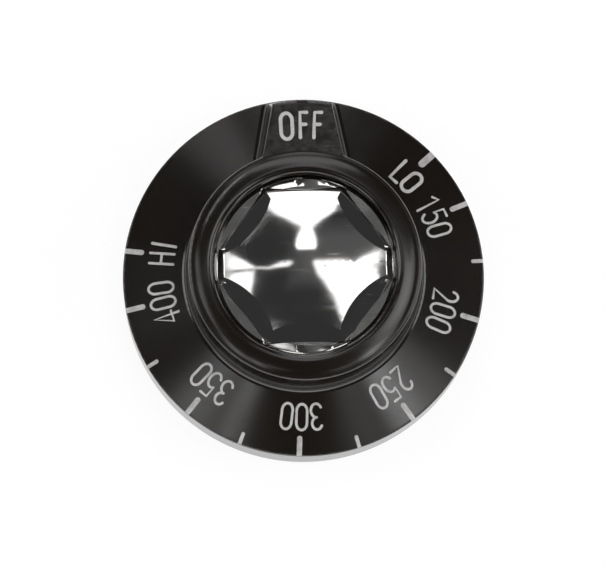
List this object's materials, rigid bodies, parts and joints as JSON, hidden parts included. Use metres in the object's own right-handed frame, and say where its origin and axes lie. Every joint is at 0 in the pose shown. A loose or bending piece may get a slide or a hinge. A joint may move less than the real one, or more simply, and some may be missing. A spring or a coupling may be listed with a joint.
{
  "type": "oven control knob",
  "caption": "Round black dial knob with a stepped hub, a raised pad at the off position, a bright faceted insert and a D-shaped shaft hole underneath.",
  "frame": {"origin": "centre of the rim plane, on the shaft's axis", "axes": "+Z along the shaft's axis out of the face, +Y towards the raised pad at the off position"},
  "size_m": [0.0603, 0.0602, 0.0226],
  "materials": {
    "black_plastic": "gloss moulded black phenolic plastic",
    "chrome_plate": "bright chrome plate over a moulded insert",
    "spring_steel": "plain spring steel strip"
  },
  "bodies": {
    "root": {"knob_body": "black_plastic", "chrome_insert": "chrome_plate", "shaft_spring": "spring_steel"}
  },
  "joints": []
}
